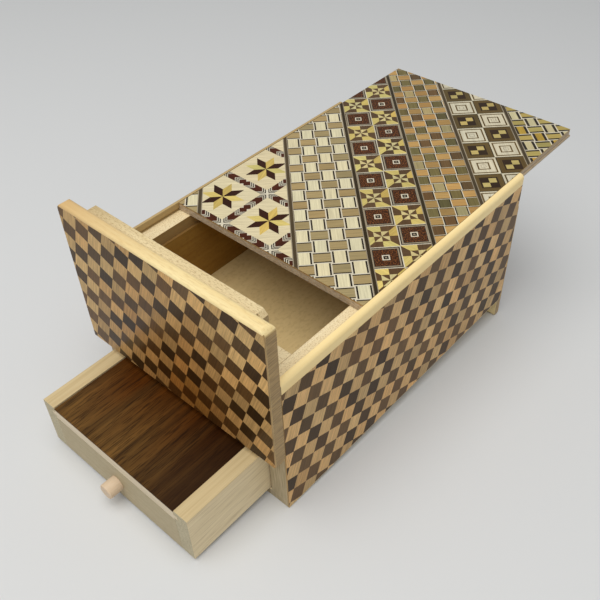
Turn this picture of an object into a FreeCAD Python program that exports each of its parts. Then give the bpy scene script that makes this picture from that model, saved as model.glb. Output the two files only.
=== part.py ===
import FreeCAD, Part
import os
from FreeCAD import Vector

# Wooden puzzle box, part open, in millimetres.
# Origin: middle of the underside. X to the right, Y to the back, Z up.

# The box
box_width = 114.0
box_height = 80.0
side_length = 170.4
wall_thick = 9.9
lip_thick = 2.7
lip_round = 2.2
foot_round = 0.4
veneer_thick = 0.8
side_strip_low = 0.5
side_strip_high = 5.9
bottom_thick = 4.0
end_wall_thick = 11.2

# The compartment
floor_thick = 3.0
floor_groove = 2.0
lining_thick = 1.4
lining_drop = 5.6

# The lid, slid back
lid_thick = 4.1
lid_open = 51.0
lid_side_gap = 0.25
lid_under_gap = 0.15
lid_sink = 0.15
lid_rib_width = 0.7
lid_rib_thick = 1.0

# Both end panels pass under the lid
panel_lid_gap = 0.35
panel_strip_low = 0.5
panel_strip_high = 1.5
panel_outer_round = 1.6
panel_inner_round = 2.4
panel_foot_round = 1.4
panel_corner = 3.4

# The front end panel, raised
panel_thick = 6.05
panel_gap = 0.25
panel_raise = 35.3

# The rear end panel, lowered
rear_thick = 3.8
rear_gap = 0.3
rear_inset = 1.5
rear_drop = 14.2

# The tongues that carry the end panels in the long walls
tongue_thick = 5.0
tongue_back_gap = 0.55
tongue_end_gap = 0.3
tongue_corner = 2.2
tongue_top_drop = 2.9
tongue_foot_gap = 0.6
rib_width = 1.8
rib_thick = 3.3
rib_gap = 0.25

# The drawer, pulled out
drawer_out = 43.7
drawer_recess = 14.2
drawer_stop_gap = 0.3
drawer_side_gap = 0.9
drawer_lift = 0.8
drawer_headroom = 0.9
drawer_height = 27.3
drawer_wall = 7.7
drawer_end = 6.0
drawer_floor_thick = 3.0
drawer_floor_rise = 1.5
drawer_groove = 2.0
drawer_edge_round = 0.5
knob_radius = 3.65
knob_length = 6.7
knob_edge_round = 0.7
knob_rise = 8.9
knob_tenon_radius = 2.2
knob_tenon_length = 4.5

# The sliding cover of the drawer
cover_thick = 5.9
cover_veneer_thick = 0.6
cover_sink = 0.6
cover_side_gap = 0.2
cover_stop_gap = 0.2
cover_rib_width = 2.0
cover_rib_thick = 1.9
cover_rib_rise = 1.6
cover_rib_gap = 0.2

# Planes that the pieces share
half_out = box_width / 2
half_lip = half_out - lip_thick
half_in = half_out - wall_thick
front_end = -side_length / 2
rear_end = side_length / 2
lid_top = box_height - lid_sink
lid_low = lid_top - lid_thick
ledge = lid_low - lid_under_gap
side_veneer_z = (side_strip_low, box_height - side_strip_high)
panel_height = lid_low - panel_lid_gap
panel_back = front_end - panel_gap
rear_back = rear_end + rear_gap
tongue_half = half_in - tongue_end_gap
front_wall_face = panel_back + tongue_thick + tongue_back_gap
front_wall_back = front_wall_face + end_wall_thick
rear_wall_back = rear_back - tongue_thick - tongue_back_gap
rear_wall_face = rear_wall_back - end_wall_thick
drawer_low = bottom_thick + drawer_lift
drawer_top = drawer_low + drawer_height
floor_low = drawer_top + drawer_headroom
floor_top = floor_low + floor_thick
lining_top = ledge - lining_drop
drawer_half = half_in - drawer_side_gap
drawer_inner = drawer_half - drawer_wall
drawer_length = rear_wall_face - drawer_stop_gap - (front_end + drawer_recess)
drawer_front_face = front_end - drawer_out
drawer_rear_face = drawer_front_face + drawer_length
cover_top = drawer_top - cover_sink
cover_low = cover_top - cover_thick
cover_rear = drawer_rear_face - drawer_end - cover_stop_gap
drawer_floor_low = drawer_low + drawer_floor_rise
drawer_floor_top = drawer_floor_low + drawer_floor_thick


def block(x, y, z):
    return Part.makeBox(x[1] - x[0], y[1] - y[0], z[1] - z[0], Vector(x[0], y[0], z[0]))


def both_sides(x, y, z):
    right = block(x, y, z)
    return [right, mirrored(right)]


def mirrored(shape):
    return shape.mirror(Vector(0, 0, 0), Vector(1, 0, 0))


def straight_edges(shape, along, keep):
    # Edges parallel to one axis whose middle passes a test
    chosen = []
    for edge in shape.Edges:
        if edge.Curve.TypeId != "Part::GeomLine":
            continue
        way = edge.lastVertex().Point.sub(edge.firstVertex().Point).normalize()
        if abs(way.dot(along)) > 0.999 and keep(edge.CenterOfMass):
            chosen.append(edge)
    return chosen


def near(value, target):
    return abs(value - target) < 1e-4


along_x = Vector(1, 0, 0)
along_y = Vector(0, 1, 0)


def right_side_wall():
    # One thick board, rebated for the lid and the bottom, with its grooves
    length = (front_end, rear_end)
    wall = block((half_in, half_out), length, (0, box_height))
    lid_seat = block((half_in, half_lip), length, (ledge, box_height))
    bottom_seat = block((half_in, half_lip), length, (0, bottom_thick))
    veneer_seat = block((half_out - veneer_thick, half_out), length, side_veneer_z)
    rib_room = half_lip + lid_rib_width
    lid_groove = block((half_in, rib_room), length, (ledge, lid_low + lid_rib_thick + lid_under_gap))
    floor_seat = block((half_in, half_in + floor_groove), (front_wall_back, rear_wall_face),
                       (floor_low, floor_top))
    wall = wall.cut([lid_seat, bottom_seat, veneer_seat, lid_groove, floor_seat] + tongue_grooves())
    outer_top = straight_edges(wall, along_y, lambda c: near(c.x, half_out) and near(c.z, box_height))
    wall = wall.makeFillet(min(lip_round, 0.9 * lip_thick), outer_top)
    outer_foot = straight_edges(wall, along_y, lambda c: near(c.x, half_out) and near(c.z, 0))
    return wall.makeFillet(foot_round, outer_foot)


def tongue_grooves():
    # Upright grooves for the ribs of both tongues, open at the lid's seat
    depth = (half_in, tongue_half + rib_width + rib_gap)
    front_stop = panel_back + tongue_thick + rib_gap
    rear_start = rear_back - tongue_thick - rib_gap
    run = rib_thick + 2 * rib_gap
    height = (bottom_thick, ledge)
    return [block(depth, (front_stop - run, front_stop), height),
            block(depth, (rear_start, rear_start + run), height)]


def right_side_veneer():
    return block((half_out - veneer_thick, half_out), (front_end, rear_end), side_veneer_z)


def bottom_panel():
    return block((-half_lip, half_lip), (front_end, rear_end), (0, bottom_thick))


def front_wall():
    return block((-half_in, half_in), (front_wall_face, front_wall_back), (floor_low, ledge))


def rear_wall():
    return block((-half_in, half_in), (rear_wall_face, rear_wall_back), (bottom_thick, ledge))


def compartment_floor():
    reach = half_in + floor_groove
    return block((-reach, reach), (front_wall_back, rear_wall_face), (floor_low, floor_top))


def right_lining():
    return block((half_in - lining_thick, half_in), (front_wall_back, rear_wall_face),
                 (floor_top, lining_top))


def end_lining(start):
    reach = half_in - lining_thick
    return block((-reach, reach), (start, start + lining_thick), (floor_top, lining_top))


def lid_board():
    # Ribs along both long edges run in the grooves of the lips
    half = half_lip - lid_side_gap
    length = (front_end + lid_open, rear_end + lid_open)
    board = block((-half, half), length, (lid_low, lid_top - veneer_thick))
    ribs = both_sides((half, half + lid_rib_width), length, (lid_low, lid_low + lid_rib_thick))
    return board.fuse(ribs).removeSplitter()


def lid_veneer():
    half = half_lip - lid_side_gap
    length = (front_end + lid_open, rear_end + lid_open)
    return block((-half, half), length, (lid_top - veneer_thick, lid_top))


def eased_panel(half, y, z, outer, inner):
    # An end panel, rounded along its top and foot and at its top corners
    thick = y[1] - y[0]
    slab = block((-half, half), y, z)
    eases = [(outer, z[1], panel_outer_round), (inner, z[1], panel_inner_round),
             (outer, z[0], panel_foot_round), (inner, z[0], panel_foot_round)]
    for face, level, radius in eases:
        edge = straight_edges(slab, along_x, lambda c: near(c.y, face) and near(c.z, level))
        slab = slab.makeFillet(min(radius, 0.4 * thick), edge)
    return slab.common(arched_block(half, y, z))


def arched_block(half, y, z):
    gate = block((-half, half), y, z)
    corners = straight_edges(gate, along_y, lambda c: near(c.z, z[1]))
    return gate.makeFillet(panel_corner, corners)


def panel_veneer(half, y, z, seat):
    sheet = block((-half, half), seat, (z[0] + panel_strip_low, z[1] - panel_strip_high))
    return sheet.common(arched_block(half, y, z))


def front_place():
    return (panel_back - panel_thick, panel_back), (panel_raise, panel_raise + panel_height)


def front_veneer():
    y, z = front_place()
    return panel_veneer(half_out, y, z, (y[0], y[0] + veneer_thick))


def front_panel():
    y, z = front_place()
    return eased_panel(half_out, y, z, y[0], y[1]).cut(front_veneer())


def rear_place():
    return (rear_back, rear_back + rear_thick), (-rear_drop, panel_height - rear_drop)


def rear_veneer():
    y, z = rear_place()
    return panel_veneer(half_out - rear_inset, y, z, (y[1] - veneer_thick, y[1]))


def rear_panel():
    y, z = rear_place()
    return eased_panel(half_out - rear_inset, y, z, y[1], y[0]).cut(rear_veneer())


def tongue(y, rib_y, z):
    # A board between the long walls, widened at its inner side to run in their grooves
    board = block((-tongue_half, tongue_half), y, z)
    reach = tongue_half + rib_width
    rail = block((-reach, reach), rib_y, z)
    whole = board.fuse(rail).removeSplitter()
    gate = block((-reach, reach), y, z)
    corners = straight_edges(gate, along_y, lambda c: near(c.z, z[1]))
    return whole.common(gate.makeChamfer(tongue_corner, corners))


def front_tongue():
    inner = panel_back + tongue_thick
    low = panel_raise + bottom_thick + tongue_foot_gap
    top = panel_raise + ledge - tongue_top_drop
    return tongue((panel_back, inner), (inner - rib_thick, inner), (low, top))


def rear_tongue():
    # At its lowest it stands just above the bottom panel
    inner = rear_back - tongue_thick
    low = bottom_thick + tongue_foot_gap
    top = ledge - tongue_top_drop - rear_drop
    return tongue((inner, rear_back), (inner, inner + rib_thick), (low, top))


def drawer_right_wall():
    # Grooved for the drawer's floor and, near the top, for the cover
    length = (drawer_front_face, drawer_rear_face)
    wall = block((drawer_inner, drawer_half), length, (drawer_low, drawer_top))
    floor_run = (drawer_front_face + drawer_end, drawer_rear_face - drawer_end)
    floor_seat = block((drawer_inner, drawer_inner + drawer_groove), floor_run,
                       (drawer_floor_low, drawer_floor_top))
    rib_low = cover_low + cover_rib_rise - cover_rib_gap
    rib_reach = drawer_inner - cover_side_gap + cover_rib_width + cover_rib_gap
    cover_run = (drawer_front_face, cover_rear + cover_stop_gap)
    cover_groove = block((drawer_inner, rib_reach), cover_run,
                         (rib_low, rib_low + cover_rib_thick + 2 * cover_rib_gap))
    wall = wall.cut([floor_seat, cover_groove])
    edges = straight_edges(wall, along_y, lambda c: near(c.x, drawer_half))
    return wall.makeFillet(drawer_edge_round, edges)


def drawer_floor():
    reach = drawer_inner + drawer_groove
    return block((-reach, reach), (drawer_front_face + drawer_end, drawer_rear_face - drawer_end),
                 (drawer_floor_low, drawer_floor_top))


def drawer_front():
    board = block((-drawer_inner, drawer_inner), (drawer_front_face, drawer_front_face + drawer_end),
                  (drawer_low, cover_low - cover_rib_gap))
    return board.cut(knob_tenon())


def drawer_back():
    return block((-drawer_inner, drawer_inner), (drawer_rear_face - drawer_end, drawer_rear_face),
                 (drawer_low, drawer_top))


def knob_centre():
    return Vector(0, drawer_front_face, drawer_low + knob_rise)


def knob_tenon():
    return Part.makeCylinder(knob_tenon_radius, knob_tenon_length, knob_centre(), along_y)


def drawer_knob():
    # A turned peg with an eased rim, glued in the front by its tenon
    peg = Part.makeCylinder(knob_radius, knob_length, knob_centre(), Vector(0, -1, 0))
    tip = drawer_front_face - knob_length
    rim = [edge for edge in peg.Edges if near(edge.BoundBox.YMin, tip) and near(edge.BoundBox.YMax, tip)]
    peg = peg.makeFillet(knob_edge_round, rim)
    return peg.fuse(knob_tenon()).removeSplitter()


def cover_board():
    # Slides forward out of the drawer, on a rib along each side
    half = drawer_inner - cover_side_gap
    length = (drawer_front_face, cover_rear)
    rib_low = cover_low + cover_rib_rise
    board = block((-half, half), length, (cover_low, cover_top - cover_veneer_thick))
    ribs = both_sides((half, half + cover_rib_width), length, (rib_low, rib_low + cover_rib_thick))
    return board.fuse(ribs).removeSplitter()


def cover_veneer():
    half = drawer_inner - cover_side_gap
    return block((-half, half), (drawer_front_face, cover_rear), (cover_top - cover_veneer_thick, cover_top))


def pieces():
    rights = {"side_wall": right_side_wall(), "side_veneer": right_side_veneer(), "lining": right_lining(),
              "drawer_wall": drawer_right_wall()}
    named = {"bottom_panel": bottom_panel(), "front_wall": front_wall(), "rear_wall": rear_wall(),
             "compartment_floor": compartment_floor(), "front_lining": end_lining(front_wall_back),
             "rear_lining": end_lining(rear_wall_face - lining_thick), "lid_board": lid_board(),
             "lid_veneer": lid_veneer(), "front_panel": front_panel(), "front_veneer": front_veneer(),
             "front_tongue": front_tongue(), "rear_panel": rear_panel(), "rear_veneer": rear_veneer(),
             "rear_tongue": rear_tongue(), "drawer_floor": drawer_floor(), "drawer_front": drawer_front(),
             "drawer_back": drawer_back(), "drawer_knob": drawer_knob(), "cover_board": cover_board(),
             "cover_veneer": cover_veneer()}
    for name, shape in rights.items():
        named["right_" + name] = shape
        named["left_" + name] = mirrored(shape)
    return named


os.makedirs("parts", exist_ok=True)
for node, shape in pieces().items():
    solid = shape.Solids[0] if len(shape.Solids) == 1 else shape
    solid.exportStep("parts/" + node + ".step")
    print(node, len(shape.Solids), "solid, valid", shape.isValid(), "volume", round(shape.Volume, 1))
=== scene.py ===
import bpy, bmesh, math, random
from mathutils import Matrix, Vector, kdtree


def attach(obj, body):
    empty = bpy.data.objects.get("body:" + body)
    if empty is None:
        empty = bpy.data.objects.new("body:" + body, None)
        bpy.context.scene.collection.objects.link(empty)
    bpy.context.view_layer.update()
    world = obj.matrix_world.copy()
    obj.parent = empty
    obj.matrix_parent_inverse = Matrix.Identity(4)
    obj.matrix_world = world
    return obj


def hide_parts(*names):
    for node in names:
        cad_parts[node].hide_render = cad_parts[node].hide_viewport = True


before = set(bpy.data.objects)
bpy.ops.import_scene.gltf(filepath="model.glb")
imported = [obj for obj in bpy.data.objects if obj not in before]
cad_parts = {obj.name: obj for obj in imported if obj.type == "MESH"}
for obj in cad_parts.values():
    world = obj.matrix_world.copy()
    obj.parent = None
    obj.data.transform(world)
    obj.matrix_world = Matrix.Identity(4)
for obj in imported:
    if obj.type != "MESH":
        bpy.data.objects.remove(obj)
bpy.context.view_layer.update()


def linear(red, green, blue):
    # A colour as seen on a screen, 0 to 255, as the shader's linear values
    steps = [channel / 255 for channel in (red, green, blue)]
    return tuple(c / 12.92 if c <= 0.04045 else ((c + 0.055) / 1.055) ** 2.4 for c in steps) + (1.0,)


# Camera, fitted to the straight edges of the box in the photograph
def photoCamera():
    place = {"spot": (0.18597, -0.21104, 0.28850), "azimuth": 43.158, "elevation": 42.983, "roll": 2.298,
             "lens": 46.29, "sensor": 36.0, "near": 0.01}
    azimuth, elevation, roll = (math.radians(place[key]) for key in ("azimuth", "elevation", "roll"))
    ahead = Vector((-math.sin(azimuth) * math.cos(elevation), math.cos(azimuth) * math.cos(elevation),
                    -math.sin(elevation)))
    level = ahead.cross(Vector((0, 0, 1))).normalized()
    sunk = ahead.cross(level)
    right = level * math.cos(roll) + sunk * math.sin(roll)
    up = level * math.sin(roll) - sunk * math.cos(roll)
    data = bpy.data.cameras.new("camera")
    data.lens = place["lens"]
    data.sensor_width = place["sensor"]
    data.clip_start = place["near"]
    camera = bpy.data.objects.new("camera", data)
    turn = Matrix((right, up, -ahead)).transposed().to_4x4()
    camera.matrix_world = Matrix.Translation(place["spot"]) @ turn
    bpy.context.scene.collection.objects.link(camera)
    bpy.context.scene.camera = camera


photoCamera()


def solidTree(name, roughness, gloss):
    material = bpy.data.materials.new(name)
    material.use_nodes = True
    surface = material.node_tree.nodes["Principled BSDF"]
    surface.inputs["Roughness"].default_value = roughness
    surface.inputs["Specular IOR Level"].default_value = gloss
    return material, material.node_tree, surface


# Floor: the box stands on its lowered rear end, tilted forward
def paleFloor():
    size = {"front": -0.0852, "back": 0.0875, "foot": -0.0142, "half": 2.5, "under": -0.0002}
    look = {"colour": (218, 219, 219), "roughness": 0.9, "gloss": 0.2}
    slope = size["foot"] / (size["back"] - size["front"])
    bm = bmesh.new()
    bmesh.ops.create_grid(bm, x_segments=1, y_segments=1, size=size["half"])
    lean = Matrix.Rotation(math.atan(slope), 4, "X")
    laid = Matrix.Translation((0, size["front"], size["under"])) @ lean
    bmesh.ops.transform(bm, matrix=laid, verts=bm.verts)
    mesh = bpy.data.meshes.new("floor")
    bm.to_mesh(mesh)
    bm.free()
    floor = bpy.data.objects.new("floor", mesh)
    bpy.context.scene.collection.objects.link(floor)
    material, tree, surface = solidTree("floorPaper", look["roughness"], look["gloss"])
    surface.inputs["Base Color"].default_value = linear(*look["colour"])
    mesh.materials.append(material)


def softLight(name, place):
    data = bpy.data.lights.new(name, "AREA")
    data.shape = "DISK"
    data.size = place["size"]
    data.energy = place["power"]
    data.color = place["colour"]
    lamp = bpy.data.objects.new(name, data)
    turn = (Vector(place["aim"]) - Vector(place["spot"])).to_track_quat("-Z", "Y").to_matrix().to_4x4()
    lamp.matrix_world = Matrix.Translation(place["spot"]) @ turn
    bpy.context.scene.collection.objects.link(lamp)


def roomLight(colour, strength):
    world = bpy.data.worlds.new("room")
    world.use_nodes = True
    backdrop = world.node_tree.nodes["Background"]
    backdrop.inputs["Color"].default_value = colour
    backdrop.inputs["Strength"].default_value = strength
    bpy.context.scene.world = world


paleFloor()
softLight("skyPanel", {"spot": (0.10, -0.37, 1.22), "aim": (0, 0, 0.04), "size": 1.4, "power": 13.7,
                       "colour": (1.0, 0.99, 0.97)})
roomLight(colour=(0.97, 0.985, 1.0, 1.0), strength=0.37)
bpy.context.scene.view_settings.view_transform = "Standard"
print("stage set")


# Shader pieces
def joined(tree, target, value):
    if hasattr(value, "is_linked"):
        tree.links.new(value, target)
    else:
        target.default_value = value


def sums(tree, operation, first, second=0.0):
    node = tree.nodes.new("ShaderNodeMath")
    node.operation = operation
    joined(tree, node.inputs[0], first)
    joined(tree, node.inputs[1], second)
    return node.outputs[0]


def scaled(tree, vector, factors):
    node = tree.nodes.new("ShaderNodeVectorMath")
    node.operation = "MULTIPLY"
    joined(tree, node.inputs[0], vector)
    node.inputs[1].default_value = factors
    return node.outputs[0]


def cloud(tree, vector, detail):
    node = tree.nodes.new("ShaderNodeTexNoise")
    node.inputs["Scale"].default_value = 1.0
    node.inputs["Detail"].default_value = detail
    joined(tree, node.inputs["Vector"], vector)
    return node.outputs[0]


def stretch(tree, value, low, high):
    # The value's range from low to high spread over 0 to 1
    node = tree.nodes.new("ShaderNodeMapRange")
    joined(tree, node.inputs["Value"], value)
    node.inputs["From Min"].default_value = low
    node.inputs["From Max"].default_value = high
    return node.outputs[0]


def grainNoise(tree, spot, factors, detail, contrast):
    return stretch(tree, cloud(tree, scaled(tree, spot, factors), detail), *contrast)


# The colour sockets of a mix node, which share their names with other sockets
mixSockets = {"first": 6, "second": 7, "result": 2}


def mixed(tree, factor, first, second, blend="MIX"):
    node = tree.nodes.new("ShaderNodeMix")
    node.data_type = "RGBA"
    node.blend_type = blend
    joined(tree, node.inputs[0], factor)
    joined(tree, node.inputs[mixSockets["first"]], first)
    joined(tree, node.inputs[mixSockets["second"]], second)
    return node.outputs[mixSockets["result"]]


def axisScale(axis, along, across):
    return tuple(along if index == axis else across for index in range(3))


# What all boards share: the contrast of their grain, and how its streaks and broad bands are mixed
boardGrain = {"contrast": (0.3, 0.7), "fineDetail": 4, "softDetail": 2, "broadScale": (7, 70),
              "streakShare": 0.55, "broadShare": 0.45, "ringContrast": (0.32, 0.68), "poreFrom": (0.50, 0.66),
              "endFrom": (0.7, 0.8), "zoneBlend": 0.0001, "wander": 0.02, "depth": 0.0002}


# Solid wood with streaks and pores along one axis, and end grain on the faces across it
def boardWood(name, look):
    material, tree, surface = solidTree(name, look["roughness"], look["gloss"])
    places = tree.nodes.new("ShaderNodeTexCoord")
    spot, axis = places.outputs["Object"], look["axis"]
    fine, soft, contrast = boardGrain["fineDetail"], boardGrain["softDetail"], boardGrain["contrast"]
    streak = grainNoise(tree, spot, axisScale(axis, *look["streakScale"]), fine, contrast)
    broad = grainNoise(tree, spot, axisScale(axis, *boardGrain["broadScale"]), soft, contrast)
    depth = sums(tree, "ADD", sums(tree, "MULTIPLY", streak, boardGrain["streakShare"]),
                 sums(tree, "MULTIPLY", broad, boardGrain["broadShare"]))
    colour = mixed(tree, depth, linear(*look["deep"]), linear(*look["pale"]))
    poreFrom = look.get("poreFrom", boardGrain["poreFrom"])
    pores = grainNoise(tree, spot, axisScale(axis, *look["poreScale"]), soft, poreFrom)
    colour = mixed(tree, sums(tree, "MULTIPLY", pores, look["pores"]), colour, linear(*look["pore"]))
    rings = grainNoise(tree, spot, look["endScale"], fine, boardGrain["ringContrast"])
    endColour = mixed(tree, rings, linear(*look["endDeep"]), linear(*look["endPale"]))
    normal = tree.nodes.new("ShaderNodeSeparateXYZ")
    tree.links.new(places.outputs["Normal"], normal.inputs[0])
    endFrom = look.get("endFrom", boardGrain["endFrom"])
    isEnd = stretch(tree, sums(tree, "ABSOLUTE", normal.outputs[axis]), *endFrom)
    colour = mixed(tree, isEnd, colour, endColour)
    where = tree.nodes.new("ShaderNodeSeparateXYZ")
    tree.links.new(spot, where.inputs[0])
    for zoneLook in look.get("skins", []):
        # Another tone at some distances from the middle, on one side or on both, and above a level; some of
        # these zones are painted shade, as marked in the looks below
        level = where.outputs[zoneLook["axis"]]
        if "side" in zoneLook:
            level = sums(tree, "MULTIPLY", level, zoneLook["side"])
        else:
            level = sums(tree, "ABSOLUTE", level)
        inside = stretch(tree, level, *zoneLook["reach"])
        low, high = zoneLook["above"] - boardGrain["zoneBlend"], zoneLook["above"] + boardGrain["zoneBlend"]
        inside = sums(tree, "MULTIPLY", inside, stretch(tree, where.outputs[2], low, high))
        inside = sums(tree, "MULTIPLY", inside, sums(tree, "SUBTRACT", 1.0, isEnd))
        tone = mixed(tree, depth, linear(*zoneLook["deep"]), linear(*zoneLook["pale"]))
        colour = mixed(tree, inside, colour, tone)
    for driftLook in look.get("toneAndShadeDrifts", []):
        # A zone of another tone towards one side or end of the board; in some looks it is the wood's own
        # tone, in others painted shade, as marked below
        wander = sums(tree, "MULTIPLY", sums(tree, "SUBTRACT", broad, 0.5), boardGrain["wander"])
        share = stretch(tree, sums(tree, "ADD", where.outputs[driftLook["axis"]], wander), *driftLook["from"])
        share = sums(tree, "MULTIPLY", share, driftLook["share"])
        colour = mixed(tree, share, colour, linear(*driftLook["tone"]), driftLook.get("blend", "MIX"))
    joined(tree, surface.inputs["Base Color"], colour)
    bump = tree.nodes.new("ShaderNodeBump")
    bump.inputs["Strength"].default_value = look["relief"]
    bump.inputs["Distance"].default_value = boardGrain["depth"]
    joined(tree, bump.inputs["Height"], streak)
    joined(tree, surface.inputs["Normal"], bump.outputs[0])
    return material


# What all marquetry shares; its scales are per millimetre of the grain map
inlayGrain = {"streakScale": (0.07, 1.5, 1.0), "streakFrom": (0.30, 0.70), "streakDetail": 5,
              "poreScale": (0.9, 5.5, 1.0), "poreFrom": (0.56, 0.72), "softDetail": 2,
              "fleckScale": (1.3, 1.7, 1.0), "fleckFrom": (0.50, 0.60), "fleckTone": (138, 82, 38)}


# Marquetry: each cut piece carries its own tone, and its grain direction as a UV map in millimetres
def inlayWood(name, look):
    material, tree, surface = solidTree(name, look["roughness"], look["gloss"])
    tone = tree.nodes.new("ShaderNodeVertexColor")
    tone.layer_name = "tone"
    grain = tree.nodes.new("ShaderNodeUVMap")
    grain.uv_map = "grain"
    spot, soft = grain.outputs[0], inlayGrain["softDetail"]
    streak = grainNoise(tree, spot, inlayGrain["streakScale"], inlayGrain["streakDetail"],
                        inlayGrain["streakFrom"])
    pores = grainNoise(tree, spot, inlayGrain["poreScale"], soft, inlayGrain["poreFrom"])
    shade = sums(tree, "MULTIPLY_ADD", streak, look["streak"])
    shade.node.inputs[2].default_value = 1.0 - 0.5 * look["streak"]
    shade = sums(tree, "SUBTRACT", shade, sums(tree, "MULTIPLY", pores, look["pores"]))
    flecks = grainNoise(tree, spot, inlayGrain["fleckScale"], soft, inlayGrain["fleckFrom"])
    fleck = sums(tree, "MULTIPLY", flecks, sums(tree, "SUBTRACT", 1.0, tone.outputs[1]))
    grey = tree.nodes.new("ShaderNodeCombineColor")
    for index in range(3):
        tree.links.new(shade, grey.inputs[index])
    colour = mixed(tree, 1.0, tone.outputs[0], grey.outputs[0], "MULTIPLY")
    colour = mixed(tree, fleck, colour, linear(*inlayGrain["fleckTone"]))
    joined(tree, surface.inputs["Base Color"], colour)
    return material


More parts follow.
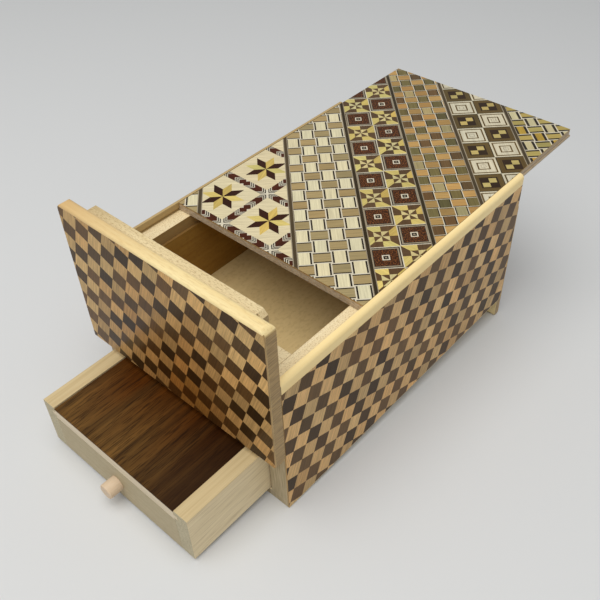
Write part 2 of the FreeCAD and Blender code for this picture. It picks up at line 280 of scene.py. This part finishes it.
# What the carcass's boards have in common, and what the compartment's linings have
carcassWood = {"pale": (244, 228, 190), "deep": (230, 209, 164), "pore": (184, 154, 106), "pores": 0.6,
               "streakScale": (30, 900), "poreScale": (1300, 2300), "relief": 0.10, "roughness": 0.55}
liningWood = {"pale": (228, 202, 146), "deep": (216, 188, 132), "pore": (180, 148, 98), "pores": 0.25,
              "streakScale": (30, 500), "poreScale": (450, 700), "relief": 0.06, "gloss": 0.15,
              "roughness": 0.65, "endPale": (196, 172, 130), "endDeep": (172, 146, 104)}
woods = {
    "wallWood": {**carcassWood, "axis": 1, "gloss": 0.30,
                 "endPale": (196, 180, 148), "endDeep": (160, 144, 112), "endScale": (1600, 10, 90),
                 # Zones: the varnished outer lip; the left lip painted darker than the right, as painted
                 # shade; the inner faces above the compartment floor painted darker, as painted shade
                 "skins": [{"axis": 0, "reach": (0.0541, 0.0543), "above": 0.0735,
                            "pale": (255, 232, 174), "deep": (250, 218, 150)},
                           {"axis": 0, "side": -1, "reach": (0.0541, 0.0543), "above": 0.0735,
                            "pale": (196, 169, 119), "deep": (176, 148, 98)},
                           {"axis": 0, "reach": (0.0473, 0.0472), "above": 0.036,
                            "pale": (170, 140, 90), "deep": (150, 118, 72)}]},
    "crossWood": {**carcassWood, "axis": 0, "gloss": 0.20,
                  "endPale": (186, 172, 142), "endDeep": (158, 142, 112), "endScale": (10, 1600, 90)},
    "liningLong": {**liningWood, "axis": 1, "endScale": (1500, 10, 900)},
    "liningCross": {**liningWood, "axis": 0, "endScale": (10, 1500, 900)},
    # Side linings: the same board as the front and rear linings, painted darker and browner as painted shade,
    # with a darker band above 69.8 mm
    "liningSide": {**liningWood, "axis": 1, "endScale": (1500, 10, 900),
                   "pale": (168, 130, 62), "deep": (146, 106, 46), "pore": (118, 84, 44),
                   "skins": [{"axis": 0, "reach": (0, 0.0001), "above": 0.0698,
                              "pale": (140, 106, 56), "deep": (122, 90, 46)}]},
    "lidWood": {"axis": 1, "pale": (196, 178, 150), "deep": (170, 150, 122), "pore": (110, 88, 62),
                "pores": 0.4, "streakScale": (22, 900), "poreScale": (260, 1700),
                "relief": 0.06, "gloss": 0.20, "roughness": 0.45,
                "endPale": (204, 188, 164), "endDeep": (170, 150, 124), "endScale": (700, 10, 1500)},
    "panelWood": {"axis": 0, "pale": (250, 231, 176), "deep": (240, 212, 150), "pore": (190, 154, 98),
                  "pores": 0.25, "streakScale": (22, 900), "poreScale": (260, 1700),
                  "relief": 0.05, "gloss": 0.40, "roughness": 0.35,
                  "endPale": (180, 148, 92), "endDeep": (130, 102, 58), "endScale": (10, 130, 2400),
                  "endFrom": (0.9, 0.99),
                  # Darker towards the left end: partly the wood's own tone, partly painted shade
                  "toneAndShadeDrifts": [{"axis": 0, "from": (0.01, -0.05), "share": 1.0, "tone": (210, 172, 114)}]},
    "tongueWood": {"axis": 0, "pale": (234, 215, 170), "deep": (214, 191, 144), "pore": (150, 122, 78),
                   "pores": 0.55, "streakScale": (30, 900), "poreScale": (650, 2500),
                   "relief": 0.08, "gloss": 0.20, "roughness": 0.6,
                   "endPale": (186, 164, 122), "endDeep": (150, 126, 86), "endScale": (10, 900, 1600),
                   "toneAndShadeDrifts": [{"axis": 0, "from": (-0.012, -0.045), "share": 0.55,
                               "tone": (148, 120, 74)}]},
    "drawerWood": {"axis": 1, "pale": (238, 220, 182), "deep": (217, 197, 156), "pore": (184, 160, 120),
                   "pores": 0.45, "streakScale": (22, 1100), "poreScale": (70, 1900),
                   "relief": 0.08, "gloss": 0.25, "roughness": 0.5,
                   "endPale": (200, 188, 156), "endDeep": (168, 156, 124), "endScale": (1500, 10, 1500),
                   "skins": [{"axis": 0, "reach": (0, 0.0001), "above": 0.0317,
                              "pale": (222, 202, 158), "deep": (192, 168, 122)}]},
    "drawerCross": {"axis": 0, "pale": (192, 178, 146), "deep": (176, 160, 126), "pore": (150, 132, 98),
                    "pores": 0.3, "streakScale": (22, 1100), "poreScale": (300, 1900),
                    "relief": 0.06, "gloss": 0.25, "roughness": 0.55,
                    "endPale": (182, 170, 142), "endDeep": (140, 128, 102), "endScale": (10, 1500, 1500)},
    "coverWood": {"axis": 1, "pale": (216, 200, 164), "deep": (196, 178, 140), "pore": (150, 124, 84),
                  "pores": 0.3, "streakScale": (22, 900), "poreScale": (260, 1700),
                  "relief": 0.06, "gloss": 0.20, "roughness": 0.5,
                  "endPale": (232, 216, 188), "endDeep": (208, 190, 160), "endScale": (60, 10, 2200)},
    "walnutWood": {"axis": 1, "pale": (132, 95, 46), "deep": (42, 25, 10), "pore": (30, 18, 8),
                   "pores": 0.65, "streakScale": (10, 330), "poreScale": (100, 2300),
                   "poreFrom": (0.52, 0.62), "relief": 0.05, "gloss": 0.10, "roughness": 0.4,
                   "endPale": (96, 68, 40), "endDeep": (60, 40, 22), "endScale": (1500, 10, 1500),
                   # Darker towards the right side; and, as painted shade, darker and redder from the cover's
                   # front edge back towards the front panel, which shades it
                   "toneAndShadeDrifts": [{"axis": 0, "from": (0.002, 0.03), "share": 0.8, "tone": (44, 24, 9)},
                              {"axis": 1, "from": (-0.122, -0.088), "share": 1.0,
                               "tone": (202, 158, 104), "blend": "MULTIPLY"}]},
    "pegWood": {"axis": 1, "pale": (224, 202, 174), "deep": (212, 186, 154), "pore": (200, 168, 132),
                "pores": 0.2, "streakScale": (40, 900), "poreScale": (260, 1700),
                "relief": 0.03, "gloss": 0.30, "roughness": 0.45,
                "endPale": (222, 198, 170), "endDeep": (208, 182, 150), "endScale": (900, 10, 900)},
}
woodOf = {name: boardWood(name, look) for name, look in woods.items()}
print("woods made")


def settled(name, bm, place, material):
    mesh = bpy.data.meshes.new(name)
    bm.to_mesh(mesh)
    bm.free()
    mesh.materials.append(material)
    piece = bpy.data.objects.new(name, mesh)
    bpy.context.scene.collection.objects.link(piece)
    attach(piece, place["body"])
    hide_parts(place["node"])
    return piece


# Boards: each is the node's own shape with its sharp edges slightly eased
easing = {"weld": 2e-6, "flatDegrees": 1, "sharpAngle": 0.6, "segments": 2}


def easedBoard(place):
    bm = bmesh.new()
    bm.from_mesh(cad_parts[place["node"]].data)
    bmesh.ops.remove_doubles(bm, verts=bm.verts, dist=easing["weld"])
    flat = math.radians(easing["flatDegrees"])
    bmesh.ops.dissolve_limit(bm, angle_limit=flat, verts=bm.verts, edges=bm.edges)
    paired = [edge for edge in bm.edges if len(edge.link_faces) == 2]
    sharp = [edge for edge in paired if edge.calc_face_angle() > easing["sharpAngle"]]
    bmesh.ops.bevel(bm, geom=sharp, offset=place["ease"], offset_type="OFFSET", segments=easing["segments"],
                    profile=0.5, affect="EDGES", material=-1, clamp_overlap=True)
    for face in bm.faces:
        face.smooth = True
    words = place["node"].split("_")
    name = words[0] + "".join(word.capitalize() for word in words[1:])
    piece = settled(name, bm, place, woodOf[place["wood"]])
    piece.modifiers.new("flatFaces", "WEIGHTED_NORMAL")


boards = [
    {"node": "left_side_wall", "body": "carcass", "slot": "pale_wood",
     "wood": "wallWood", "ease": 0.00022},
    {"node": "right_side_wall", "body": "carcass", "slot": "pale_wood",
     "wood": "wallWood", "ease": 0.00022},
    {"node": "front_wall", "body": "carcass", "slot": "pale_wood",
     "wood": "crossWood", "ease": 0.00022},
    {"node": "rear_wall", "body": "carcass", "slot": "pale_wood",
     "wood": "crossWood", "ease": 0.00022},
    {"node": "compartment_floor", "body": "carcass", "slot": "lining_wood",
     "wood": "liningLong", "ease": 0.0001},
    {"node": "left_lining", "body": "carcass", "slot": "lining_wood",
     "wood": "liningSide", "ease": 0.00018},
    {"node": "right_lining", "body": "carcass", "slot": "lining_wood",
     "wood": "liningSide", "ease": 0.00018},
    {"node": "front_lining", "body": "carcass", "slot": "lining_wood",
     "wood": "liningCross", "ease": 0.00018},
    {"node": "rear_lining", "body": "carcass", "slot": "lining_wood",
     "wood": "liningCross", "ease": 0.00018},
    {"node": "bottom_panel", "body": "carcass", "slot": "pale_wood",
     "wood": "wallWood", "ease": 0.0002},
    {"node": "lid_board", "body": "lid", "slot": "lid_wood",
     "wood": "lidWood", "ease": 0.00015},
    {"node": "front_panel", "body": "front_end", "slot": "pale_wood",
     "wood": "panelWood", "ease": 0.0002},
    {"node": "front_tongue", "body": "front_end", "slot": "lining_wood",
     "wood": "tongueWood", "ease": 0.0002},
    {"node": "rear_panel", "body": "rear_end", "slot": "pale_wood",
     "wood": "panelWood", "ease": 0.0002},
    {"node": "rear_tongue", "body": "rear_end", "slot": "lining_wood",
     "wood": "tongueWood", "ease": 0.0002},
    {"node": "left_drawer_wall", "body": "drawer", "slot": "drawer_wood",
     "wood": "drawerWood", "ease": 0.00018},
    {"node": "right_drawer_wall", "body": "drawer", "slot": "drawer_wood",
     "wood": "drawerWood", "ease": 0.00018},
    {"node": "drawer_front", "body": "drawer", "slot": "drawer_wood",
     "wood": "drawerCross", "ease": 0.00018},
    {"node": "drawer_back", "body": "drawer", "slot": "drawer_wood",
     "wood": "drawerCross", "ease": 0.00018},
    {"node": "drawer_floor", "body": "drawer", "slot": "drawer_wood",
     "wood": "drawerWood", "ease": 0.0001},
    {"node": "drawer_knob", "body": "drawer", "slot": "knob_wood",
     "wood": "pegWood", "ease": 0.0001},
    {"node": "cover_board", "body": "drawer_cover", "slot": "drawer_wood",
     "wood": "coverWood", "ease": 0.00012},
    {"node": "cover_veneer", "body": "drawer_cover", "slot": "walnut_veneer",
     "wood": "walnutWood", "ease": 0.00012},
]
for place in boards:
    easedBoard(place)
print("boards made")


# Marquetry tones as seen in the light, and how far single pieces stray from them
tones = {
    "light": ((211, 172, 120), 0.2), "dark": ((90, 66, 39), 0.55), "edge": ((178, 146, 98), 0.0),
    "cream": ((218, 208, 171), 0.04), "tan": ((162, 142, 99), 0.12), "white": ((212, 203, 180), 0.03),
    "line": ((45, 38, 30), 0.10), "grey": ((154, 142, 120), 0.05), "ground": ((217, 203, 165), 0.03),
    "red": ((72, 31, 12), 0.20), "yellow": ((208, 190, 114), 0.14), "brown": ((90, 68, 44), 0.2),
    "olive": ((108, 98, 60), 0.3), "orange": ((178, 141, 84), 0.22), "gold": ((180, 147, 59), 0.12),
    "moss": ((93, 75, 40), 0.14), "night": ((54, 44, 26), 0.12), "bone": ((208, 199, 172), 0.04),
    "fleck": ((58, 32, 15), 0.14), "umber": ((54, 38, 22), 0.14), "straw": ((186, 165, 100), 0.14),
    "pith": ((198, 187, 145), 0.05), "maize": ((172, 155, 89), 0.12), "wine": ((54, 24, 9), 0.15),
    "amber": ((200, 174, 96), 0.12), "slate": ((76, 64, 44), 0.08), "hay": ((164, 150, 106), 0.12),
    "pale": ((204, 190, 136), 0.08), "bark": ((102, 78, 48), 0.2),
}
toneOf = {name: (Vector(linear(*colour)[:3]), spread) for name, (colour, spread) in tones.items()}

# Cutting, in millimetres: how near counts as on the cut, as touching, as joined and as the same line
cutting = {"snap": 1e-5, "touch": 1e-4, "weld": 0.002, "sameLine": 0.001}
# The cosine from which two directions count as one, and from which a face counts as the sheet's front
facing = {"sameWay": 0.99999, "front": 0.9}
milliPerMetre = 1000
# How a cut piece strays towards red or blue, how plain a flecked one is, and how its grain is shifted
straying = {"warm": (-0.5, 0.7), "warmMost": 0.1, "fleckPlain": 0.3, "steps": (37, 61), "range": 400}
# A lattice's reach in millimetres, longer than any sheet, and the steps of its cells' seeds
latticeSize = {"span": 260, "seedRow": 7919, "seedColumn": 31, "seedShift": 200}


def split(bm, faces, point, across, drop=False):
    parts = dict.fromkeys(part for face in faces for part in list(face.verts) + list(face.edges))
    done = bmesh.ops.bisect_plane(bm, geom=list(parts) + faces, dist=cutting["snap"], plane_co=(*point, 0),
                                  plane_no=(*across, 0), clear_outer=drop)
    return [part for part in done["geom"] if isinstance(part, bmesh.types.BMFace)]


# One cell of a lattice: a square trimmed to the band, cut along its motif's lines, then toned by pieces
def tile(bm, layers, cell, motif, edges, seed, tint=(1, 1, 1)):
    centre, sideA, sideB = cell
    toneLayer, grainLayer = layers
    shape = Matrix(((sideA.x, sideB.x), (sideA.y, sideB.y)))
    back = shape.inverted()
    across = back.transposed()
    corners = [centre + shape @ Vector(corner) for corner in ((-.5, -.5), (.5, -.5), (.5, .5), (-.5, .5))]
    crossing = []
    for point, outward in edges:
        reach = [(corner - point).dot(outward) for corner in corners]
        if min(reach) > -cutting["touch"]:
            return
        if max(reach) > cutting["touch"]:
            crossing.append((point, outward))
    verts = bmesh.ops.create_grid(bm, x_segments=1, y_segments=1, size=0.5)["verts"]
    whole = Matrix(((sideA.x, sideB.x, 0, centre.x), (sideA.y, sideB.y, 0, centre.y),
                    (0, 0, 1, 0), (0, 0, 0, 1)))
    bmesh.ops.transform(bm, matrix=whole, verts=verts)
    faces = list(verts[0].link_faces)
    for point, outward in crossing:
        faces = split(bm, faces, point, outward, True)
        if not faces:
            return
    for test, lines in motif["cuts"]:
        chosen, rest = [], []
        for face in faces:
            local = back @ (face.calc_center_median().xy - centre)
            (chosen if test is None or test(local.x, local.y) else rest).append(face)
        for a, b, c in lines:
            if chosen:
                point = centre + shape @ (Vector((a, b)) * c / (a * a + b * b))
                chosen = split(bm, chosen, point, (across @ Vector((a, b))).normalized())
        faces = rest + chosen
    chance = random.Random(seed)
    shades = {}
    shiftA, shiftB = (step * seed % straying["range"] for step in straying["steps"])
    for face in faces:
        local = back @ (face.calc_center_median().xy - centre)
        name, turn = motif["paint"](local.x, local.y)
        if name not in shades:
            colour, spread = toneOf[name]
            warm = chance.uniform(*straying["warm"]) * min(spread, straying["warmMost"])
            shade = 1 + chance.uniform(-1, 1) * spread
            plain = straying["fleckPlain"] if name == "fleck" else 1.0
            shades[name] = (colour.x * shade * tint[0] * (1 + warm), colour.y * shade * tint[1],
                            colour.z * shade * tint[2] * (1 - warm), plain)
        along = Vector((math.cos(math.radians(turn)), math.sin(math.radians(turn))))
        for loop in face.loops:
            flat = loop.vert.co.xy
            loop[toneLayer] = shades[name]
            loop[grainLayer].uv = (flat.dot(along) + shiftA, along.cross(flat) + shiftB)


def lattice(bm, layers, cell, edges, chooser, seed, tint=lambda centre: (1, 1, 1)):
    # Every cell of a lattice that can touch the area inside the edges
    origin, sideA, sideB = cell
    reach = int(latticeSize["span"] / min(sideA.length, sideB.length))
    shift = latticeSize["seedShift"]
    for i in range(-reach, reach + 1):
        for j in range(-reach, reach + 1):
            centre = origin + sideA * i + sideB * j
            near = max((centre - point).dot(outward) for point, outward in edges)
            if near < sideA.length + sideB.length:
                step = latticeSize["seedRow"] * (i + shift) + latticeSize["seedColumn"] * (j + shift)
                tile(bm, layers, (centre, sideA, sideB), chooser(i, j), edges, seed + step, tint(centre))


def onFlat(right, up):
    # Turns the box's frame so that the sheet lies flat, in millimetres
    turn = Matrix((right, up, Vector(right).cross(Vector(up)))).to_4x4()
    return Matrix.Scale(milliPerMetre, 4) @ turn


def sheetStart(place):
    # The node's back and edges; its front is left open for the pattern
    bm = bmesh.new()
    bm.from_mesh(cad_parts[place["node"]].data)
    bmesh.ops.transform(bm, matrix=onFlat(place["right"], place["up"]), verts=bm.verts)
    top = max(vert.co.z for vert in bm.verts)
    bmesh.ops.translate(bm, vec=(0, 0, -top), verts=bm.verts)
    bmesh.ops.remove_doubles(bm, verts=bm.verts, dist=cutting["weld"])
    toneLayer = bm.loops.layers.float_color.new("tone")
    grainLayer = bm.loops.layers.uv.new("grain")
    bm.normal_update()
    front = [face for face in bm.faces if face.normal.z > facing["front"]]
    bmesh.ops.delete(bm, geom=front, context="FACES")
    for face in bm.faces:
        for loop in face.loops:
            loop[toneLayer] = (*toneOf["edge"][0], 1.0)
            loop[grainLayer].uv = (loop.vert.co.x + loop.vert.co.y, loop.vert.co.z)
    inner = sum((vert.co.xy for vert in bm.verts), Vector((0, 0))) / len(bm.verts)
    edges = []
    for rim in [edge for edge in bm.edges if len(edge.link_faces) == 1]:
        first, last = (vert.co.xy for vert in rim.verts)
        outward = (last - first).orthogonal().normalized()
        outward = outward if (first - inner).dot(outward) > 0 else -outward
        level = [side for point, side in edges if abs((first - point).dot(side)) < cutting["sameLine"]]
        if not any(outward.dot(side) > facing["sameWay"] for side in level):
            edges.append((first, outward))
    return bm, (toneLayer, grainLayer), edges, top


def closeSeams(bm):
    # Joins the cut pieces: an open edge gets a corner wherever another piece's corner touches it
    near = cutting["weld"]
    bmesh.ops.remove_doubles(bm, verts=bm.verts, dist=near)
    rim = [edge for edge in bm.edges if len(edge.link_faces) == 1]
    corners = [vert.co.copy() for vert in dict.fromkeys(vert for edge in rim for vert in edge.verts)]
    around = kdtree.KDTree(len(corners))
    for number, spot in enumerate(corners):
        around.insert(spot, number)
    around.balance()
    for edge in rim:
        base, far = edge.verts
        start, span = base.co.copy(), far.co - base.co
        shares = []
        for spot, number, gap in around.find_range(start + span / 2, span.length / 2):
            share = (spot - start).dot(span) / span.length_squared
            inside = near < share * span.length < span.length - near
            if inside and (spot - start - span * share).length < near:
                shares.append(share)
        done = 0
        for share in sorted(shares):
            base = bmesh.utils.edge_split(edge, base, (share - done) / (1 - done))[1]
            done = share
    bmesh.ops.remove_doubles(bm, verts=bm.verts, dist=near)
    bmesh.ops.triangulate(bm, faces=bm.faces, quad_method="BEAUTY", ngon_method="BEAUTY")


def sheetDone(bm, place, material, top):
    closeSeams(bm)
    bmesh.ops.translate(bm, vec=(0, 0, top), verts=bm.verts)
    bmesh.ops.transform(bm, matrix=onFlat(place["right"], place["up"]).inverted(), verts=bm.verts)
    settled(place["name"], bm, place, material)


# Checker sheets on the four upright faces
checkerWood = inlayWood("checkerWood", {"roughness": 0.3, "gloss": 0.1, "streak": 0.55, "pores": 0.22})
checkerGrain = 69
plainMotifs = [{"cuts": [], "paint": lambda p, q: ("light", checkerGrain)},
               {"cuts": [], "paint": lambda p, q: ("dark", checkerGrain)}]


def alternate(motifs):
    return lambda i, j: motifs[(i + j) % 2]


def checkerSheet(place):
    bm, layers, edges, top = sheetStart(place)
    turn, cell = math.radians(place["turn"]), place["cell"]
    sideA = Vector((math.cos(turn), math.sin(turn))) * cell
    sideB = Vector((-math.sin(turn), math.cos(turn))) * cell
    origin = Vector(place["corner"]) + (sideA + sideB) / 2

    def tint(centre):
        # Painted shade and painted dark reflection: the front's veneer is painted darker and warmer towards
        # one place near its foot, above the walnut cover
        if "shadeTint" not in place:
            return place["tint"]
        share = place["shadePeak"] - (centre - Vector(place["shadeSpot"])).length / place["shadeReach"]
        return Vector(place["tint"]).lerp(Vector(place["shadeTint"]), min(max(share, 0), 1))
    lattice(bm, layers, (origin, sideA, sideB), edges, alternate(plainMotifs), place["seed"], tint)
    sheetDone(bm, place, checkerWood, top)


sheets = [
    {"name": "rightChecker", "node": "right_side_veneer", "body": "carcass", "slot": "checker_veneer",
     "right": (0, 1, 0), "up": (0, 0, 1), "turn": -20.9, "cell": 7.88, "corner": (-69.4, 65.0), "seed": 11,
     "tint": (0.96, 0.96, 0.9)},
    {"name": "leftChecker", "node": "left_side_veneer", "body": "carcass", "slot": "checker_veneer",
     "right": (0, -1, 0), "up": (0, 0, 1), "turn": -20.9, "cell": 7.88, "corner": (-71.0, 64.0), "seed": 23,
     "tint": (0.96, 0.96, 0.9)},
    # The front's tint, darker and yellower than the sides', is painted shade, and the rear sheet has the same
    # tint; the keys after it add painted shade towards the front's foot
    {"name": "frontChecker", "node": "front_veneer", "body": "front_end", "slot": "checker_veneer",
     "right": (1, 0, 0), "up": (0, 0, 1), "turn": -20.3, "cell": 7.70, "corner": (-44.81, 108.61), "seed": 37,
     "tint": (0.88, 0.87, 0.75), "shadeTint": (0.45, 0.28, 0.11), "shadeSpot": (10, 44), "shadeReach": 56,
     "shadePeak": 1.1},
    {"name": "rearChecker", "node": "rear_veneer", "body": "rear_end", "slot": "checker_veneer",
     "right": (-1, 0, 0), "up": (0, 0, 1), "turn": -20.3, "cell": 7.70, "corner": (-46.0, 56.0), "seed": 41,
     "tint": (0.88, 0.87, 0.75)},
]
for place in sheets:
    checkerSheet(place)
print("checkers made")


# Mosaic lid: bands of traditional patterns side by side, at about 45 degrees to the box
# A cell's cuts are lines a * p + b * q = c, with p and q from -0.5 to 0.5 across the cell
signs = (1, -1)
diagonals = ((1, 1), (1, -1))
eighths = [(1, 0, 0), (0, 1, 0), (1, 1, 0), (1, -1, 0)]


def frameLines(*levels):
    return [(a, b, sign * level) for level in levels for a, b in ((1, 0), (0, 1)) for sign in signs]


def eighthOf(x, y):
    # Which eighth of a full turn the point lies in
    return int((math.degrees(math.atan2(y, x)) % 360) // 45)


def barMotif(bar, lengthwise, inner, outer):
    # A bar with a dark line along both long sides
    a, b = (0, 1) if lengthwise else (1, 0)
    lines = [(a, b, sign * level) for level in (inner, outer) for sign in signs]
    turn = -45 if lengthwise else 45

    def paint(p, q):
        side = abs(q) if lengthwise else abs(p)
        return (bar, turn) if side < inner else (("line", turn) if side < outer else ("white", turn))
    return {"cuts": [(None, lines)], "paint": paint}


def ringMotif(rings, middle):
    # Square rings, each given by its inner level and its tone, from the outside to the middle
    def paint(p, q):
        far = max(abs(p), abs(q))
        for level, name in rings:
            if far > level:
                return name, -45
        return middle, -45
    return {"cuts": [(None, frameLines(*[level for level, name in rings]))], "paint": paint}


weave = [barMotif("cream", True, 0.325, 0.425), barMotif("tan", False, 0.335, 0.42)]
smallWeave = [barMotif("olive", True, 0.36, 0.44), barMotif("orange", False, 0.38, 0.45),
              barMotif("hay", True, 0.36, 0.44), barMotif("bark", True, 0.36, 0.44)]
goldWeave = [barMotif("gold", True, 0.24, 0.42), barMotif("maize", False, 0.26, 0.42),
             barMotif("pith", True, 0.24, 0.42)]

redSquare = ringMotif([(0.468, "white"), (0.43, "line"), (0.385, "grey"), (0.362, "line"), (0.118, "fleck"),
                       (0.078, "white"), (0.03, "line")], "grey")
paleSquare = ringMotif([(0.43, "bone"), (0.375, "moss"), (0.216, "bone"), (0.165, "moss"), (0.09, "bone"),
                        (0.07, "grey")], "bone")

pinwheelInner = 0.24


def pinwheelPaint(p, q):
    part = eighthOf(p, q)
    outer = ("amber" if part == 2 else "yellow", "brown")
    return (outer if max(abs(p), abs(q)) > pinwheelInner else ("brown", "pale"))[part % 2], 45 * part


pinwheel = {"cuts": [(None, frameLines(pinwheelInner) + eighths)], "paint": pinwheelPaint}

darkLevels = {"rim": 0.47, "ring": 0.31, "core": 0.25}


def darkSquarePaint(p, q):
    far = max(abs(p), abs(q))
    if far > darkLevels["ring"]:
        return ("night" if far > darkLevels["rim"] else "moss"), (-45 if abs(q) > abs(p) else 45)
    return ("straw" if far < darkLevels["core"] and p * q < 0 else "umber"), 45


darkSquare = {"cuts": [(None, frameLines(*darkLevels.values()) + eighths)], "paint": darkSquarePaint}

# Star squares, in millimetres: the cell runs from the middle of one chain to the middle of the next
star = {"pitch": 29.4, "inner": 12.6, "petal": 5.9, "notch": 1.0, "petalTurn": 22,
        "petals": ("yellow", "wine", "amber", "wine")}
chainTones = [(0.8, "white"), (1.5, "line"), (2.05, "white"), (2.75, "line"), (3.25, "white"), (8.0, "red"),
              (8.5, "white"), (9.2, "line"), (9.75, "white"), (10.45, "line"), (11.0, "white")]


def inStar(p, q):
    return max(abs(p), abs(q)) * star["pitch"] < star["inner"]


def starPaint(p, q):
    x, y = p * star["pitch"], q * star["pitch"]
    if inStar(p, q):
        part = eighthOf(x, y)
        low, high = math.radians(45 * part), math.radians(45 * part + 45)
        basis = Matrix(((math.cos(low), math.cos(high)), (math.sin(low), math.sin(high)))).inverted()
        reach = basis @ Vector((x, y))
        if max(reach) < star["petal"]:
            return star["petals"][part % 4], 45 * part + star["petalTurn"]
        return "ground", 45
    half = star["pitch"] / 2
    gaps = sorted((half - abs(x), half - abs(y)))
    if half - gaps[1] < gaps[0] - star["notch"]:
        return "white", 45
    level = gaps[1] - gaps[0]
    turn = 0 if abs(y) > abs(x) else 90
    for edge, name in chainTones:
        if level < edge:
            return name, turn
    return "red", turn


def starCuts():
    unit = star["pitch"]
    square = frameLines(star["inner"] / unit) + [(1, 0, 0), (0, 1, 0)]
    rays = [(a, b, 0) for a, b in diagonals]
    petals = [(math.cos(math.radians(t)), math.sin(math.radians(t)), star["petal"] * math.sqrt(0.5) / unit)
              for t in range(0, 360, 45)]
    zones = [(a, b, sign * edge / unit) for edge, name in chainTones for a, b in diagonals for sign in signs]
    notches = [(a, b, sign * (unit / 2 - star["notch"]) / unit) for a, b in diagonals for sign in signs]
    outside = rays + zones + notches
    return [(None, square), (inStar, rays + petals), (lambda p, q: not inStar(p, q), outside)]


starMotif = {"cuts": starCuts(), "paint": starPaint}
# The dark lines between the bands: each crosses the sheet's diagonal where x + y is its level,
# in millimetres, and leans from 45 degrees by so many radians
lidPlace = {"name": "lidMosaic", "node": "lid_veneer", "body": "lid", "slot": "mosaic_veneer",
            "right": (1, 0, 0), "up": (0, 1, 0), "bandSeed": 1000, "lineSeed": 5000,
            "lineWidth": 2.3, "lineLength": 320, "core": 1.5,
            "lines": [{"level": -74.5, "lean": 0, "tone": "slate"},
                      {"level": -15.6, "lean": 0, "tone": "slate"},
                      {"level": 28.9, "lean": -0.0065, "tone": "night"},
                      {"level": 69.15, "lean": -0.0125, "tone": "night"},
                      {"level": 106.5, "lean": -0.02, "tone": "slate"},
                      {"level": 147.5, "lean": -0.027, "tone": "slate"}]}
oddBars = {0: 2, 3: 3, 5: 3}


def smallChoice(i, j):
    # Mostly olive bars, with a pale or a brown one here and there
    return smallWeave[1 if (i + j) % 2 else oddBars.get((3 * i + 5 * j) % 7, 0)]


def goldChoice(i, j):
    # Maize bars one way, and the other way gold and pale ones mixed
    return goldWeave[1] if (i + j) % 2 else goldWeave[2 if (i * 5 + j * 3) % 4 < 2 else 0]


bands = [
    {"origin": (-50.4, -28.7), "sideA": (5.38, -5.40), "sideB": (5.38, 5.40), "choice": alternate(weave)},
    {"origin": (-41.8, -17.9), "sideA": (29.4, 0), "sideB": (0, 29.4), "choice": lambda i, j: starMotif},
    {"origin": (17.33, -6.07), "sideA": (5.38, -5.40), "sideB": (5.38, 5.40), "choice": alternate(weave)},
    {"origin": (3.44, 35.78), "sideA": (9.96, -10.22), "sideB": (9.96, 10.11),
     "choice": alternate((redSquare, pinwheel))},
    {"origin": (31.75, 51.52), "sideA": (4.50, -4.55), "sideB": (4.61, 4.66), "choice": smallChoice},
    {"origin": (18.67, 99.9), "sideA": (9.68, -10.15), "sideB": (10.1, 9.85),
     "choice": alternate((paleSquare, darkSquare))},
    {"origin": (35.4, 130.2), "sideA": (5.2, -5.2), "sideB": (5.2, 5.2), "choice": goldChoice},
]


def mosaicLid():
    bm, layers, edges, top = sheetStart(lidPlace)
    width, lines = lidPlace["lineWidth"], lidPlace["lines"]
    middles = [Vector((line["level"] / 2, line["level"] / 2)) for line in lines]
    slants = [Vector((1 - line["lean"], 1 + line["lean"])).normalized() for line in lines]
    for number, band in enumerate(bands):
        inside = list(edges)
        if number > 0:
            inside.append((middles[number - 1] + slants[number - 1] * width / 2, -slants[number - 1]))
        if number < len(middles):
            inside.append((middles[number] - slants[number] * width / 2, slants[number]))
        cell = tuple(Vector(band[key]) for key in ("origin", "sideA", "sideB"))
        lattice(bm, layers, cell, inside, band["choice"], lidPlace["bandSeed"] * number)
    core = 0.5 * lidPlace["core"] / width
    for number, line in enumerate(lines):
        stripe = {"cuts": [(None, [(0, 1, core), (0, 1, -core)])],
                  "paint": lambda p, q: (line["tone"] if abs(q) < core else "grey", -45)}
        along = Vector((slants[number].y, -slants[number].x)) * lidPlace["lineLength"]
        cell = (middles[number], along, slants[number] * width)
        tile(bm, layers, cell, stripe, edges, lidPlace["lineSeed"] + number)
    mosaicWood = inlayWood("mosaicWood", {"roughness": 0.30, "gloss": 0.16, "streak": 0.34, "pores": 0.14})
    sheetDone(bm, lidPlace, mosaicWood, top)


mosaicLid()
print("lid made")
